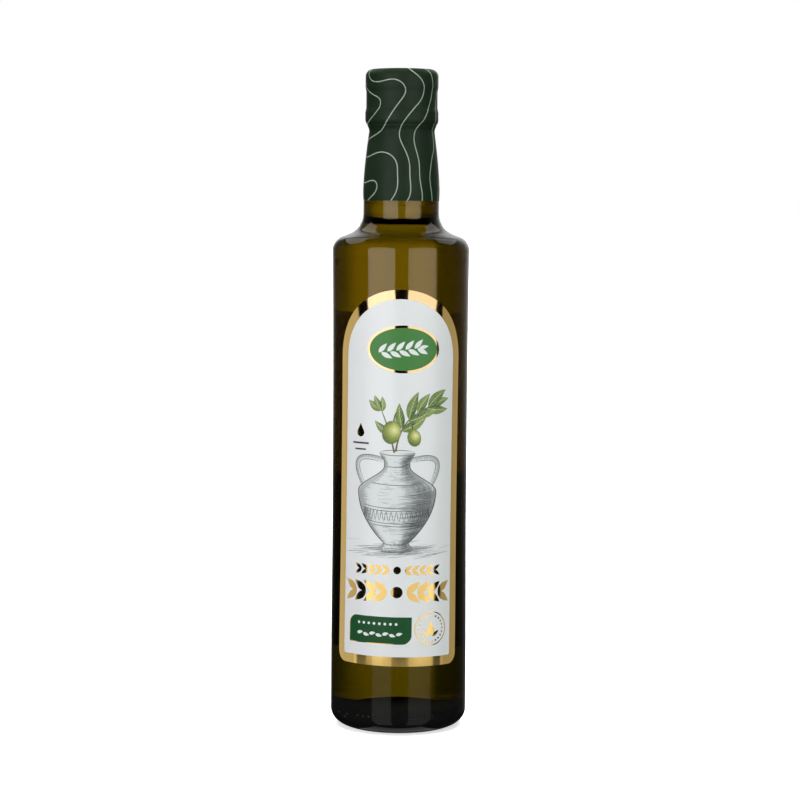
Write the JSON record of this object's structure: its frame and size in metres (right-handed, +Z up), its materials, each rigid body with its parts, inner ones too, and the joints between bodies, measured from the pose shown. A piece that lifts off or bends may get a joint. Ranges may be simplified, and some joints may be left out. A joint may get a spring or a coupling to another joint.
{
  "type": "olive oil bottle",
  "caption": "Shut half-litre bottle of olive oil in dark green glass, with a sloped shoulder, a capsule shrunk over its screw cap and neck, and an arched front and a square back label.",
  "frame": {"origin": "centre of the bottle's base, on the surface it stands on", "axes": "+Z up the bottle's axis to the cap; the middle of the front label faces -Y and the back label faces +Y"},
  "size_m": [0.062, 0.063, 0.2989],
  "materials": {
    "dark_glass": "smooth moulded glass, antique green, nearly brown",
    "oil": "clear yellow-green olive oil",
    "capsule_film": "satin dark green shrink film with thin pale contour lines",
    "label_paper": "coated white label paper with a stamped gold foil border",
    "back_paper": "coated white label paper with plain colour fields"
  },
  "bodies": {
    "root": {"glass_bottle": "dark_glass", "olive_oil": "oil", "neck_capsule": "capsule_film", "front_label": "label_paper", "back_label": "back_paper"}
  },
  "joints": []
}
